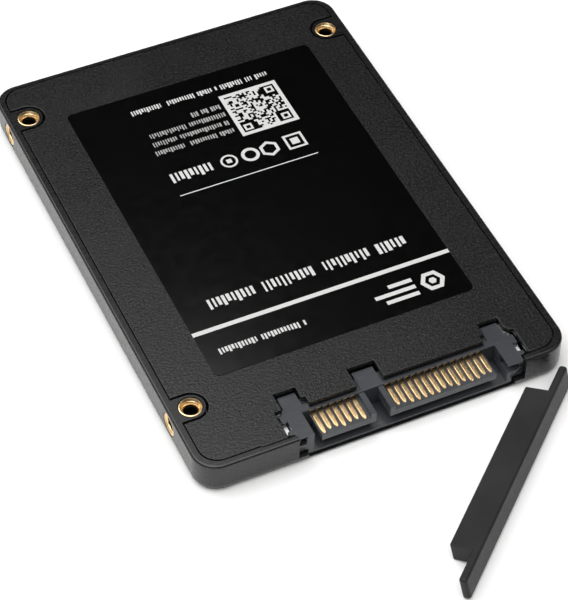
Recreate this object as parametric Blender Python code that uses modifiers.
"""A 2.5-inch solid state drive lying label side up, with its loose connector cap.

The drive's closed face rests on Z = 0 with the world origin at the middle of that face.
X runs to the right as seen from the connector, Y towards the back, Z up to the label.
Sizes below are in millimetres. Places along the drive are written as "run", the distance
back from the connector end, because the drive's drawings are dimensioned that way.
"""

import math

import bmesh
import bpy
from mathutils import Matrix, Vector

MM = 0.001
SMOOTH_ANGLE = math.radians(35.0)

# Driving dimensions of the drive
WIDTH = 69.85
LENGTH = 100.0
HEIGHT = 7.0
RIM_TOP = HEIGHT - 0.2
CORNER_RADIUS = 4.5
TOP_EDGE_RADIUS = 0.5
BOTTOM_EDGE_RADIUS = 1.8
FLOOR = 0.9
HALF = WIDTH / 2.0

# Label film, whose top is the highest face of the drive
LABEL_CENTRE = (0.55, 53.05)
LABEL_SIZE = (49.9, 69.9)
LABEL_CORNER = 1.1
LABEL_THICKNESS = 0.1
LABEL_LIFT = 0.01

# Cover plate, set into the rim of the housing
PLATE_TOP = HEIGHT - LABEL_THICKNESS - LABEL_LIFT
PLATE_THICKNESS = 1.1
PLATE_BOTTOM = PLATE_TOP - PLATE_THICKNESS
PLATE_HALF = 33.35
PLATE_FRONT = 1.45
PLATE_FRONT_STEP = 1.2
PLATE_STEP_X = -23.4
PLATE_BACK = 98.75
PLATE_CORNER = 3.5
PLATE_GAP = 0.2
LEDGE_TOP = PLATE_BOTTOM - 0.3

# Mounting threads: label-side holes and side holes share the same two runs
HOLE_X = 30.86
HOLE_RUNS = (14.0, 90.6)
SIDE_HOLE_Z = 4.0
INSERT_RADIUS = 2.1
INSERT_BORE = 1.25
INSERT_CLEARANCE = 0.1
INSERT_DEPTH = 3.0
INSERT_SUNK = 0.05
INSERT_LEAD = 0.3
SIDE_INSERT_DEPTH = 1.2
NOTCH_RADIUS = 3.05
TONGUE_RADIUS = 2.6
BOSS_HALF = 3.4
BOSS_INNER_X = 28.3

# Steps round a half circle, a corner of the case, a corner of the plate and a corner of the label
NOTCH_STEPS = 22
CASE_STEPS = 12
PLATE_STEPS = 9
LABEL_STEPS = 6

# Keeps opposite edges of an outline out of line, which the Boolean needs
NUDGE = 0.01

# Cavity
CAVITY_HALF = 31.8
CAVITY_FRONT = 2.6
CAVITY_BACK = 97.6

# Circuit board
BOARD_HALF = 27.3
BOARD_FRONT = 9.4
BOARD_BACK = 60.0
BOARD_BOTTOM = 2.2
BOARD_TOP = 3.2
CHIP_LIFT = 0.1
SCREW_PLACES = ((-23.5, 55.5), (23.5, 55.5), (23.5, 22.5))
SCREW_HOLE = 1.2
SCREW_HEAD = 1.95
SCREW_HEAD_HEIGHT = 1.0
SCREW_LIFT = 0.15
SCREW_SHANK = 0.9
SCREW_LENGTH = 2.0
RECESS_ARMS = ((1.0, 0.2), (0.2, 1.0))
POST_RADIUS = 2.3
POST_HEIGHT = 1.3

# Connector
CONNECTOR_CENTRE = 4.57
EAR_OUTER = 21.47
EAR_INNER = 18.45
EAR_TOP = 5.8
FRONT_RUN = 0.85
WALL_RUN = 5.95
BODY_BACK = 9.05
SHELF_BOTTOM = 0.9
SHELF_TOP = 1.4
SHELF_HALF = 19.5
STEP_TOP = 1.85
MOUTH_CLEARANCE = 0.12
MOUTH_SIDE = 1.5
TONGUE_TOP = 4.55
TONGUE_BOTTOM = 3.3
KEY_TOP = 5.55
KEY_WIDTH = 1.0
SIGNAL_TONGUE = (-12.4, -2.2)
POWER_TONGUE = (0.45, 20.9)
PITCH = 1.27
SIGNAL_FIRST_X = -11.75
POWER_FIRST_X = 2.42
CONTACT_WIDTH = 0.8
CONTACT_THICKNESS = 0.22
CONTACT_LIFT = 0.04
SLOT_CLEARANCE = 0.08
TAIL_END = 11.0
LONG_TIP = 1.15
SHORT_TIP = 1.6
CONTACT_ROWS = (("signal", SIGNAL_FIRST_X, 7), ("power", POWER_FIRST_X, 15))
LONG_CONTACTS = {"signal": (1, 4, 7), "power": (3, 4, 5, 6, 7, 10, 12, 13)}

# Tinned strips beside the ears: section as distance out from the ear and height
LOCK_SECTION = ((0.0, 4.6), (0.0, 4.3), (0.75, 4.3), (0.75, 3.3), (1.05, 3.3), (1.05, 4.6))
LOCK_CLEARANCE = 0.15
LOCK_LENGTH = 7.8
LOCK_RUN = 7.1

# Loose cap: a flange bar and a block, joined along the block's back
FLANGE_LENGTH = 49.6
FLANGE_THICKNESS = 1.5
FLANGE_HEIGHT = 4.8
BLOCK_LENGTH = 36.7
BLOCK_DEPTH = 4.0
BLOCK_HEIGHT = 3.8
BLOCK_OFFSET = 0.2
BLOCK_OVERLAP = 0.8
FLANGE_ROUND = 0.55
BLOCK_ROUND = 0.2
CAP_PLACE = (13.24, -18.18)
CAP_TURN = math.radians(41.7)
CAP_TILT = math.atan2(FLANGE_HEIGHT - BLOCK_HEIGHT, BLOCK_DEPTH)
POCKET_HALF = 17.6
POCKET_BACK = 0.5
POCKET_TOP = -0.65
POCKET_BOTTOM = -3.1

# Colour, roughness, metallic
FINISHES = {
    "housing_plastic": ((0.030, 0.030, 0.031), 0.42, 0.0),
    "plate_plastic": ((0.026, 0.026, 0.026), 0.70, 0.0),
    "cap_plastic": ((0.032, 0.032, 0.032), 0.45, 0.0),
    "connector_plastic": ((0.045, 0.048, 0.055), 0.45, 0.0),
    "label_film": ((0.006, 0.006, 0.007), 0.25, 0.0),
    "brass": ((0.80, 0.58, 0.28), 0.28, 1.0),
    "contact_gold": ((0.92, 0.68, 0.33), 0.22, 1.0),
    "tin": ((0.85, 0.85, 0.83), 0.30, 1.0),
    "screw_steel": ((0.55, 0.55, 0.55), 0.35, 1.0),
    "board_resin": ((0.006, 0.009, 0.007), 0.40, 0.0),
    "chip_epoxy": ((0.025, 0.025, 0.027), 0.55, 0.0),
    "ferrite": ((0.10, 0.10, 0.11), 0.60, 0.0),
    "capacitor_body": ((0.55, 0.42, 0.20), 0.50, 0.0),
}

# Chips and other board parts: name, centre x, centre run, size x, size run, height, finish
BOARD_PARTS = (
    ("controller_chip", 2.0, 30.0, 13.0, 13.0, 1.2, "chip_epoxy"),
    ("flash_chip_1", -17.5, 26.0, 12.0, 18.0, 1.0, "chip_epoxy"),
    ("flash_chip_2", -17.5, 45.5, 12.0, 16.0, 1.0, "chip_epoxy"),
    ("flash_chip_3", -1.0, 49.0, 16.0, 14.0, 1.0, "chip_epoxy"),
    ("cache_chip", 17.5, 34.0, 8.0, 12.0, 1.0, "chip_epoxy"),
    ("power_regulator", 12.0, 18.0, 5.0, 5.0, 0.9, "chip_epoxy"),
    ("firmware_chip", -5.0, 17.5, 5.0, 6.0, 1.0, "chip_epoxy"),
    ("inductor_1", 5.0, 17.5, 4.0, 4.0, 1.8, "ferrite"),
    ("inductor_2", 18.0, 16.0, 4.0, 4.0, 1.8, "ferrite"),
    ("capacitor_1", 15.5, 45.5, 3.4, 7.0, 1.8, "capacitor_body"),
    ("capacitor_2", 20.5, 45.5, 3.4, 7.0, 1.8, "capacitor_body"),
    ("crystal", -8.0, 37.5, 3.2, 2.5, 0.8, "tin"),
)


def clear_scene():
    """Remove every object so that the file can be run again."""
    for old in list(bpy.data.objects):
        bpy.data.objects.remove(old, do_unlink=True)


def make_collection(name):
    """Return a new collection linked to the scene."""
    group = bpy.data.collections.new(name)
    bpy.context.scene.collection.children.link(group)
    return group


def make_material(name, colour, roughness, metallic):
    """Return a Principled material."""
    finish = bpy.data.materials.new(name)
    finish.use_nodes = True
    shader = finish.node_tree.nodes["Principled BSDF"]
    shader.inputs["Base Color"].default_value = (*colour, 1.0)
    shader.inputs["Roughness"].default_value = roughness
    shader.inputs["Metallic"].default_value = metallic
    return finish


def place(x, run, z):
    """Turn a drawing point in millimetres into a world point in metres."""
    return Vector((x, run - LENGTH / 2.0, z)) * MM


def add_object(name, mesh, finish=None):
    """Link a mesh as a part, or as a cutter when it has no finish."""
    item = bpy.data.objects.new(name, mesh)
    if finish is None:
        CUTTERS.objects.link(item)
        item.hide_render = True
        item.display_type = "WIRE"
    else:
        PARTS.objects.link(item)
        own = make_material(name, *FINISHES[finish])
        mesh.materials.clear()
        mesh.materials.append(own)
        mesh.shade_smooth()
        mesh.set_sharp_from_angle(angle=SMOOTH_ANGLE)
    return item


def bevel(item, width, segments=1, angle=50.0):
    """Round the edges sharper than the angle."""
    edge = item.modifiers.new("edges", "BEVEL")
    edge.width = width * MM
    edge.segments = segments
    edge.limit_method = "ANGLE"
    edge.angle_limit = math.radians(angle)
    return item


def round_rims(item, bottom_width, top_width, segments):
    """Round a slab's bottom rim and its top rim by different widths, and leave its corners."""
    mesh = item.data
    weights = mesh.attributes.new("bevel_weight_edge", "FLOAT", "EDGE")
    heights = [vert.co.z for vert in mesh.vertices]
    lowest, highest = min(heights), max(heights)
    tolerance = NUDGE * MM
    for edge in mesh.edges:
        ends = [heights[index] for index in edge.vertices]
        if max(ends) < lowest + tolerance:
            weights.data[edge.index].value = 1.0
        elif min(ends) > highest - tolerance:
            weights.data[edge.index].value = top_width / bottom_width
    rim = item.modifiers.new("rims", "BEVEL")
    rim.width = bottom_width * MM
    rim.segments = segments
    rim.limit_method = "WEIGHT"
    return item


def box(name, low, high, finish=None):
    """Make a box between two drawing corners (x, run, z)."""
    shape = bmesh.new()
    bmesh.ops.create_cube(shape, size=1.0)
    size = [(b - a) * MM for a, b in zip(low, high)]
    middle = place(*[(a + b) / 2.0 for a, b in zip(low, high)])
    bmesh.ops.scale(shape, vec=size, verts=shape.verts)
    bmesh.ops.translate(shape, vec=middle, verts=shape.verts)
    mesh = bpy.data.meshes.new(name)
    shape.to_mesh(mesh)
    shape.free()
    return add_object(name, mesh, finish)


def cylinder(name, radius, centre, depth, finish=None, along_x=False, sides=32):
    """Make a round bar centred at a drawing point, along Z or X."""
    shape = bmesh.new()
    turn = Matrix.Rotation(math.pi / 2.0, 4, "Y") if along_x else Matrix.Identity(4)
    bmesh.ops.create_cone(
        shape, cap_ends=True, segments=sides, radius1=radius * MM, radius2=radius * MM,
        depth=depth * MM, matrix=Matrix.Translation(place(*centre)) @ turn)
    mesh = bpy.data.meshes.new(name)
    shape.to_mesh(mesh)
    shape.free()
    return add_object(name, mesh, finish)


def solid_from_curve(item, name, finish):
    """Turn a filled curve into a closed mesh object and drop the curve."""
    bpy.context.view_layer.update()
    graph = bpy.context.evaluated_depsgraph_get()
    mesh = bpy.data.meshes.new_from_object(item.evaluated_get(graph))
    shape = bmesh.new()
    shape.from_mesh(mesh)
    bmesh.ops.remove_doubles(shape, verts=shape.verts, dist=0.000001)
    bmesh.ops.transform(shape, matrix=item.matrix_world, verts=shape.verts)
    bmesh.ops.dissolve_limit(shape, angle_limit=math.radians(1.0), verts=shape.verts, edges=shape.edges)
    bmesh.ops.recalc_face_normals(shape, faces=shape.faces)
    shape.to_mesh(mesh)
    shape.free()
    mesh.name = name
    bpy.data.objects.remove(item, do_unlink=True)
    return add_object(name, mesh, finish)


def outline_curve(name, outlines, thickness):
    """Return a flat filled curve of one or more closed outlines in millimetres."""
    data = bpy.data.curves.new(name + "_outline", "CURVE")
    data.dimensions = "2D"
    data.fill_mode = "BOTH"
    data.extrude = thickness / 2.0 * MM
    for points in outlines:
        spline = data.splines.new("POLY")
        spline.points.add(len(points) - 1)
        for knot, (a, b) in zip(spline.points, points):
            knot.co = (a * MM, b * MM, 0.0, 1.0)
        spline.use_cyclic_u = True
    item = bpy.data.objects.new(name + "_outline", data)
    bpy.context.scene.collection.objects.link(item)
    return item


def slab(name, outline, bottom, top, finish=None):
    """Make a flat piece from an (x, run) outline between two heights."""
    item = outline_curve(name, [outline], top - bottom)
    item.location = place(0.0, 0.0, (top + bottom) / 2.0)
    return solid_from_curve(item, name, finish)


def side_profile(name, outline, left, right, finish=None):
    """Make a piece from a (run, z) outline between two places across the drive."""
    item = outline_curve(name, [outline], right - left)
    item.rotation_euler = (math.pi / 2.0, 0.0, math.pi / 2.0)
    item.location = place((left + right) / 2.0, 0.0, 0.0)
    return solid_from_curve(item, name, finish)


def front_profile(name, outline, front, back, finish=None):
    """Make a piece from an (x, z) outline between two runs."""
    item = outline_curve(name, [outline], back - front)
    item.rotation_euler = (math.pi / 2.0, 0.0, 0.0)
    item.location = place(0.0, (front + back) / 2.0, 0.0)
    return solid_from_curve(item, name, finish)


def combine(item, other, operation):
    """Join or cut with an exact Boolean; the other object stays as a cutter."""
    step = item.modifiers.new(other.name, "BOOLEAN")
    step.operation = operation
    step.object = other
    return item


def cut(item, *others):
    """Cut each of the other objects from a piece."""
    for other in others:
        combine(item, other, "DIFFERENCE")


def fuse(item, *others):
    """Join each of the other objects to a piece."""
    for other in others:
        combine(item, other, "UNION")


def arc(x, y, radius, start, stop, count):
    """Return points on an arc, with its angles in degrees."""
    points = []
    for index in range(count + 1):
        angle = math.radians(start + (stop - start) * index / count)
        points.append((x + radius * math.cos(angle), y + radius * math.sin(angle)))
    return points


def rounded_rectangle(left, right, front, back, radius, count):
    """Return a rectangle outline with rounded corners, anticlockwise."""
    return (arc(left + radius, front + radius, radius, 180, 270, count)
            + arc(right - radius, front + radius, radius, 270, 360, count)
            + arc(right - radius, back - radius, radius, 0, 90, count)
            + arc(left + radius, back - radius, radius, 90, 180, count))


def left_notch(run, radius, edge):
    """Return the notch round a boss on the left, from its back side to its front side."""
    return ([(-edge, run + radius)]
            + arc(-HOLE_X, run, radius, 90, -90, NOTCH_STEPS)
            + [(-edge, run - radius)])


def right_notch(run, radius, edge):
    """Return the notch round a boss on the right, from its front side to its back side."""
    return [(-x, y) for x, y in reversed(left_notch(run, radius, edge))]


def connector_notches():
    """Return the plate's stepped front edge round the connector, left to right."""
    return [(-18.5, PLATE_FRONT_STEP), (-18.5, 7.0), (-17.1, 7.0), (-17.1, 10.65), (-12.95, 10.65),
            (-12.95, 8.2), (-12.2, 8.2), (-12.2, 6.6), (-3.2, 6.6), (-3.2, 10.65), (1.95, 10.65),
            (1.95, 6.75), (21.2, 6.75), (21.2, 8.1), (22.0, 8.1), (22.0, 10.65), (25.9, 10.65),
            (25.9, 8.3), (26.5, 7.3), (27.3, 7.3), (27.3, PLATE_FRONT)]


def plate_outline(edge, front, step, back, notch, with_connector):
    """Return the outline of the cover plate, or of the recess that it lies in."""
    radius = PLATE_CORNER
    front_hole, back_hole = HOLE_RUNS
    middle = connector_notches() if with_connector else []
    return (left_notch(back_hole, notch, edge)
            + left_notch(front_hole, notch, edge)
            + arc(-edge + radius, front + radius, radius, 180, 270, PLATE_STEPS)
            + [(PLATE_STEP_X, front), (PLATE_STEP_X, step)]
            + middle
            + arc(edge - radius, front + NUDGE + radius, radius, 270, 360, PLATE_STEPS)
            + right_notch(back_hole, notch - NUDGE, edge)
            + arc(edge - radius, back - radius, radius, 0, 90, PLATE_STEPS)
            + arc(-edge + radius, back - radius, radius, 90, 180, PLATE_STEPS))


def cavity_outline():
    """Return the cavity, which steps in round the four bosses."""
    points = []
    for side, runs in ((-1, reversed(HOLE_RUNS)), (1, HOLE_RUNS)):
        first, last = (CAVITY_BACK, CAVITY_FRONT) if side < 0 else (CAVITY_FRONT, CAVITY_BACK)
        points.append((side * CAVITY_HALF, first))
        half = side * BOSS_HALF + NUDGE
        for run in runs:
            entry, leave = run - half, run + half
            points.append((side * CAVITY_HALF, entry))
            points.append((side * BOSS_INNER_X, entry))
            points.append((side * BOSS_INNER_X, leave))
            points.append((side * CAVITY_HALF, leave))
        points.append((side * CAVITY_HALF, last))
    return points


def make_housing():
    """The tub: floor, walls, rim, bosses for the threads and posts for the board."""
    shell = slab("housing_shell", rounded_rectangle(-HALF, HALF, 0.0, LENGTH, CORNER_RADIUS, CASE_STEPS),
                 0.0, RIM_TOP, "housing_plastic")
    round_rims(shell, BOTTOM_EDGE_RADIUS, TOP_EDGE_RADIUS, 4)
    recess = plate_outline(PLATE_HALF + PLATE_GAP, PLATE_FRONT - PLATE_GAP,
                           PLATE_FRONT_STEP - PLATE_GAP, PLATE_BACK + PLATE_GAP,
                           TONGUE_RADIUS, False)
    cut(shell, slab("recess_cutter", recess, LEDGE_TOP, HEIGHT + 1.0))
    cut(shell, slab("cavity_cutter", cavity_outline(), FLOOR, LEDGE_TOP + 0.2))
    left = CONNECTOR_CENTRE - EAR_OUTER
    right = CONNECTOR_CENTRE + EAR_OUTER
    cut(shell, box("mouth_cutter", (left - MOUTH_CLEARANCE, -1.0, STEP_TOP),
                   (right + MOUTH_CLEARANCE, 3.0, HEIGHT + 1.0)))
    cut(shell, box("mouth_side_cutter", (left - MOUTH_SIDE, 1.15, STEP_TOP),
                   (right + MOUTH_SIDE, 3.1, HEIGHT + 1.0)))
    cut(shell, box("mouth_floor_cutter", (CONNECTOR_CENTRE - SHELF_HALF - 0.2, -1.0, SHELF_BOTTOM - 0.3),
                   (CONNECTOR_CENTRE + SHELF_HALF + 0.2, 9.3, STEP_TOP + 0.1)))
    for number, (x, run) in enumerate(SCREW_PLACES, start=1):
        fuse(shell, cylinder(f"post_{number}", POST_RADIUS, (x, run, FLOOR + POST_HEIGHT / 2.0 - 0.3),
                             POST_HEIGHT, sides=20))
        cut(shell, cylinder(f"post_bore_{number}", SCREW_HOLE, (x, run, FLOOR + 0.8), 1.2, sides=16))
    return shell


def cut_insert_holes(shell):
    """Make a hole in the housing for each threaded insert."""
    radius = INSERT_RADIUS + INSERT_CLEARANCE
    for number, (x, run) in enumerate(label_side_holes(), start=1):
        depth = INSERT_DEPTH + 0.3
        cut(shell, cylinder(f"top_hole_{number}", radius, (x, run, RIM_TOP - depth / 2.0 + 0.5), depth + 1.0))
    for number, (side, run) in enumerate(side_holes(), start=1):
        depth = SIDE_INSERT_DEPTH + 0.15
        centre = (side * (HALF - depth / 2.0 + 0.5), run, SIDE_HOLE_Z)
        cut(shell, cylinder(f"side_hole_{number}", radius, centre, depth + 1.0, along_x=True))


def label_side_holes():
    """Return the three label-side threads; the front right corner has none."""
    front, back = HOLE_RUNS
    return ((-HOLE_X, front), (-HOLE_X, back), (HOLE_X, back))


def side_holes():
    """Return the side threads as (side, run)."""
    return [(side, run) for side in (-1, 1) for run in HOLE_RUNS]


def make_insert(name, location, rotation, depth):
    """A turned brass bush with a countersunk mouth, its mouth facing local +Z."""
    profile = [(INSERT_RADIUS, 0.0), (INSERT_RADIUS, -depth), (INSERT_BORE, -depth),
               (INSERT_BORE, -INSERT_LEAD), (INSERT_BORE + INSERT_LEAD, 0.0)]
    shape = bmesh.new()
    ring = [shape.verts.new((radius * MM, 0.0, height * MM)) for radius, height in profile]
    for index, vert in enumerate(ring):
        shape.edges.new((vert, ring[(index + 1) % len(ring)]))
    mesh = bpy.data.meshes.new(name)
    shape.to_mesh(mesh)
    shape.free()
    item = add_object(name, mesh, "brass")
    turn = item.modifiers.new("turn", "SCREW")
    turn.steps = 24
    turn.render_steps = 24
    turn.use_merge_vertices = True
    turn.merge_threshold = 0.00001
    item.location = location
    item.rotation_euler = rotation
    return item


def make_inserts():
    """All seven threaded inserts, a hair below the face that each opens in."""
    for number, (x, run) in enumerate(label_side_holes(), start=1):
        make_insert(f"label_side_insert_{number}", place(x, run, RIM_TOP - INSERT_SUNK), (0.0, 0.0, 0.0),
                    INSERT_DEPTH)
    for number, (side, run) in enumerate(side_holes(), start=1):
        make_insert(f"side_insert_{number}", place(side * (HALF - INSERT_SUNK), run, SIDE_HOLE_Z),
                    (0.0, side * math.pi / 2.0, 0.0), SIDE_INSERT_DEPTH)


def make_plate():
    """The cover plate, notched round the bosses and the connector."""
    outline = plate_outline(PLATE_HALF, PLATE_FRONT, PLATE_FRONT_STEP, PLATE_BACK, NOTCH_RADIUS, True)
    slab("cover_plate", outline, PLATE_BOTTOM, PLATE_TOP, "plate_plastic")


def make_label():
    """The thin label film on the cover plate."""
    x, run = LABEL_CENTRE
    half_x, half_run = LABEL_SIZE[0] / 2.0, LABEL_SIZE[1] / 2.0
    outline = rounded_rectangle(x - half_x, x + half_x, run - half_run, run + half_run,
                                LABEL_CORNER, LABEL_STEPS)
    bottom = PLATE_TOP + LABEL_LIFT
    slab("label", outline, bottom, bottom + LABEL_THICKNESS, "label_film")


def make_board():
    """The circuit board with its screws and everything soldered on it."""
    board = box("circuit_board", (-BOARD_HALF, BOARD_FRONT, BOARD_BOTTOM),
                (BOARD_HALF, BOARD_BACK, BOARD_TOP), "board_resin")
    middle = (BOARD_BOTTOM + BOARD_TOP) / 2.0
    for number, (x, run) in enumerate(SCREW_PLACES, start=1):
        cut(board, cylinder(f"board_hole_{number}", SCREW_HOLE, (x, run, middle), 2.0, sides=20))
        make_screw(f"board_screw_{number}", x, run)
    for name, x, run, size_x, size_run, height, finish in BOARD_PARTS:
        bottom = BOARD_TOP + CHIP_LIFT
        part = box(name, (x - size_x / 2.0, run - size_run / 2.0, bottom),
                   (x + size_x / 2.0, run + size_run / 2.0, bottom + height), finish)
        bevel(part, 0.12)


def make_screw(name, x, run):
    """A pan-head screw with a cross recess, through the board into its post."""
    bottom = BOARD_TOP + SCREW_LIFT
    middle = bottom + SCREW_HEAD_HEIGHT / 2.0
    head = cylinder(name, SCREW_HEAD, (x, run, middle), SCREW_HEAD_HEIGHT, "screw_steel", sides=24)
    bevel(head, 0.3, 2)
    fuse(head, cylinder(name + "_shank", SCREW_SHANK, (x, run, bottom + 0.1 - SCREW_LENGTH / 2.0),
                        SCREW_LENGTH, sides=16))
    for number, (half_x, half_run) in enumerate(RECESS_ARMS, start=1):
        cut(head, box(f"{name}_recess_{number}", (x - half_x, run - half_run, middle),
                      (x + half_x, run + half_run, middle + SCREW_HEAD_HEIGHT)))


def ear_outline(side):
    """Return the top view of one connector ear with its locating tab and hook.

    Outward distances are measured from the ear's outer face, positive away from the contacts.
    """
    inner = EAR_INNER - EAR_OUTER - 0.02
    front = FRONT_RUN - 0.03
    points = [(inner, front), (0.02, front), (0.02, 2.05), (0.95, 2.25), (0.95, 3.0),
              (0.02, 3.15), (0.02, 5.2), (0.35, 4.9), (0.95, 4.9), (1.0, 6.7), (0.75, 7.0),
              (0.1, 7.05), (0.1, 7.55), (-0.35, 7.75), (-0.4, 10.4), (-3.7, 10.4),
              (-3.7, 7.4), (-4.75, 7.4), (-4.75, WALL_RUN + 0.1), (inner, WALL_RUN + 0.1)]
    outline = [(CONNECTOR_CENTRE + side * (EAR_OUTER + out), run) for out, run in points]
    return outline if side > 0 else list(reversed(outline))


def frame_outline():
    """Return the front view of the connector's shelf and of the two posts under its ears."""
    half = [(EAR_OUTER, 5.2), (EAR_OUTER, STEP_TOP + 0.45), (SHELF_HALF, STEP_TOP + 0.45),
            (SHELF_HALF, SHELF_BOTTOM)]
    inner = [(EAR_INNER, SHELF_TOP), (EAR_INNER, 5.2)]
    left = [(CONNECTOR_CENTRE - out, height) for out, height in reversed(half)]
    right = [(CONNECTOR_CENTRE + out, height) for out, height in half]
    left_inner = [(CONNECTOR_CENTRE - out, height) for out, height in reversed(inner)]
    right_inner = [(CONNECTOR_CENTRE + out, height) for out, height in inner]
    return left + left_inner + right_inner + right


def tongue_outline(start, stop, key_side):
    """Return the front view of one tongue with its key at the left or the right end."""
    if key_side > 0:
        return [(start, TONGUE_BOTTOM), (stop, TONGUE_BOTTOM), (stop, KEY_TOP), (stop - KEY_WIDTH, KEY_TOP),
                (stop - KEY_WIDTH, TONGUE_TOP), (start, TONGUE_TOP)]
    return [(start, TONGUE_BOTTOM), (stop, TONGUE_BOTTOM), (stop, TONGUE_TOP),
            (start + KEY_WIDTH, TONGUE_TOP), (start + KEY_WIDTH, KEY_TOP), (start, KEY_TOP)]


def make_connector():
    """The moulded connector: shelf, back wall, two tongues with keys, ears and tabs."""
    left = CONNECTOR_CENTRE - EAR_OUTER
    right = CONNECTOR_CENTRE + EAR_OUTER
    inner_left = CONNECTOR_CENTRE - EAR_INNER
    inner_right = CONNECTOR_CENTRE + EAR_INNER
    body = box("sata_connector_body", (inner_left - 1.0, WALL_RUN, SHELF_BOTTOM + 0.1),
               (inner_right + 1.0, BODY_BACK, LEDGE_TOP - 0.1), "connector_plastic")
    fuse(body, front_profile("connector_frame", frame_outline(), FRONT_RUN, WALL_RUN + 0.3))
    fuse(body, box("wall_bar", (inner_left - 0.5, WALL_RUN - 0.03, LEDGE_TOP - 1.0),
                   (inner_right + 0.5, WALL_RUN + 0.45, EAR_TOP - 0.04)))
    fuse(body, box("middle_tab", (-2.5, WALL_RUN + 0.1, TONGUE_TOP - 0.5), (1.5, 10.3, EAR_TOP - 0.02)))
    for side, label in ((-1, "left"), (1, "right")):
        fuse(body, slab(f"{label}_ear_top", ear_outline(side), 4.9, EAR_TOP))
    for label, (start, stop), key_side in (("signal", SIGNAL_TONGUE, 1), ("power", POWER_TONGUE, -1)):
        fuse(body, front_profile(f"{label}_tongue", tongue_outline(start, stop, key_side),
                                 FRONT_RUN + 0.02, WALL_RUN + 0.4))
    cut(body, box("left_ear_pocket", (left + 0.4, 0.0, 3.8), (left + 1.65, 3.2, 5.6)))
    cut(body, box("right_ear_pocket", (right - 3.8, 0.0, 3.75), (right - 1.1, 3.6, 5.45)))
    for label, first_x, count in CONTACT_ROWS:
        cut(body, contact_slots(label, first_x, count))


def contact_places():
    """Return every contact as (name, centre x, tip run)."""
    rows = []
    for label, first_x, count in CONTACT_ROWS:
        for number in range(1, count + 1):
            tip = LONG_TIP if number in LONG_CONTACTS[label] else SHORT_TIP
            rows.append((f"{label}_contact_{number:02d}", first_x + (number - 1) * PITCH, tip))
    return rows


def contact_slots(label, first_x, count):
    """One cutter for a row: the stepped slot that each contact passes through."""
    half = CONTACT_WIDTH / 2.0 + SLOT_CLEARANCE
    low = TONGUE_TOP - 0.02
    outline = [(WALL_RUN - 0.3, low), (BODY_BACK + 0.5, low), (BODY_BACK + 0.5, low + 0.42),
               (WALL_RUN + 0.35, low + 0.42), (WALL_RUN + 0.35, low + 0.85), (WALL_RUN - 0.3, low + 0.85)]
    slots = side_profile(f"{label}_slots", outline, first_x - half, first_x + half)
    row = slots.modifiers.new("row", "ARRAY")
    row.count = count
    row.use_relative_offset = False
    row.use_constant_offset = True
    row.constant_offset_displace = (PITCH * MM, 0.0, 0.0)
    return slots


def contact_profile(tip):
    """Return the side view of a contact: tip, flat on the tongue, tail down to the board."""
    low = TONGUE_TOP + CONTACT_LIFT
    high = low + CONTACT_THICKNESS
    thick = CONTACT_THICKNESS
    foot = BOARD_TOP + 0.04
    bend = BODY_BACK + 0.5
    return [(tip + 0.1, low), (bend - thick, low), (bend - thick, foot + thick), (bend - 0.05, foot),
            (TAIL_END, foot), (TAIL_END, foot + thick), (bend + 0.05, foot + thick),
            (bend, foot + thick + 0.05), (bend, high - 0.1), (bend - 0.1, high), (tip + 0.25, high),
            (tip, low + 0.1)]


def make_contacts():
    """Every gold contact, one piece each, with its tip rounded in plan."""
    for name, x, tip in contact_places():
        blade = side_profile(name, contact_profile(tip), x - CONTACT_WIDTH / 2.0, x + CONTACT_WIDTH / 2.0,
                             "contact_gold")
        round_tip(blade, x, tip)


def round_tip(blade, x, tip):
    """Draw the first points of a contact in towards its middle line."""
    near = place(x, tip + 0.3, 0.0)
    for vert in blade.data.vertices:
        if vert.co.y < near.y:
            vert.co.x = near.x + (vert.co.x - near.x) * 0.55


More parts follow.
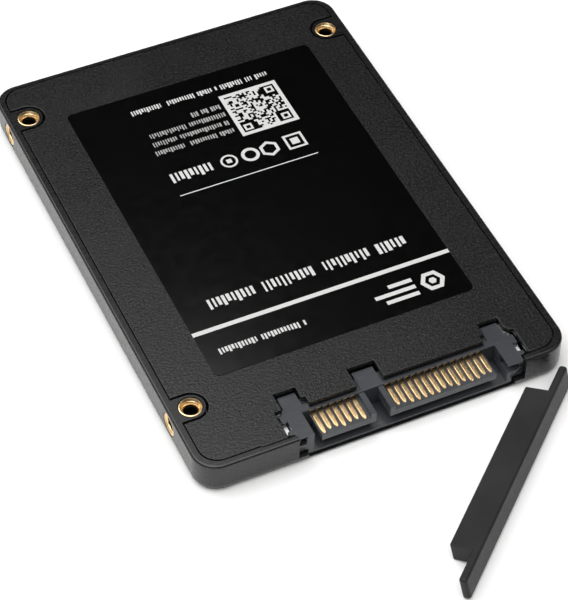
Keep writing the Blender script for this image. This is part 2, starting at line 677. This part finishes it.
def make_board_locks():
    """The tinned angle strips that anchor the connector to the board, one at each ear."""
    for side, label in ((-1, "left"), (1, "right")):
        outline = [(side * (EAR_OUTER + LOCK_CLEARANCE + out), height) for out, height in LOCK_SECTION]
        item = outline_curve(f"board_lock_{label}", [outline], LOCK_LENGTH)
        item.rotation_euler = (math.pi / 2.0, 0.0, 0.0)
        item.location = place(CONNECTOR_CENTRE, LOCK_RUN, 0.0)
        solid_from_curve(item, f"board_lock_{label}", "tin")


def make_cap():
    """The loose cap, lying tilted on its flange and the edge of its block.

    The flange has a large round and the block a small one, so each gets its own before they join.
    """
    half = FLANGE_LENGTH / 2.0
    cap = box("connector_cap", (-half, 0.0, -FLANGE_HEIGHT), (half, FLANGE_THICKNESS, 0.0), "cap_plastic")
    block = box("cap_block",
                (BLOCK_OFFSET - BLOCK_LENGTH / 2.0, FLANGE_THICKNESS - BLOCK_OVERLAP, -BLOCK_HEIGHT),
                (BLOCK_OFFSET + BLOCK_LENGTH / 2.0, FLANGE_THICKNESS + BLOCK_DEPTH, 0.0))
    pocket = box("cap_pocket", (BLOCK_OFFSET - POCKET_HALF, FLANGE_THICKNESS + POCKET_BACK, POCKET_BOTTOM),
                 (BLOCK_OFFSET + POCKET_HALF, FLANGE_THICKNESS + BLOCK_DEPTH + 1.0, POCKET_TOP))
    lift = FLANGE_HEIGHT * math.cos(CAP_TILT)
    turn = Matrix.Rotation(CAP_TURN, 4, "Z") @ Matrix.Rotation(-CAP_TILT, 4, "X")
    to_joint = Matrix.Translation(-place(0.0, FLANGE_THICKNESS, 0.0))
    spot = place(CAP_PLACE[0], CAP_PLACE[1], lift)
    for item in (cap, block, pocket):
        item.data.transform(to_joint)
        item.matrix_world = Matrix.Translation(spot) @ turn
    bevel(cap, FLANGE_ROUND, 4)
    bevel(block, BLOCK_ROUND, 2)
    fuse(cap, block)
    cut(cap, pocket)


def make_drive():
    """Build every piece."""
    shell = make_housing()
    cut_insert_holes(shell)
    make_inserts()
    make_plate()
    make_label()
    make_board()
    make_connector()
    make_contacts()
    make_board_locks()
    make_cap()


clear_scene()
PARTS = make_collection("solid_state_drive")
CUTTERS = make_collection("cutters")
make_drive()
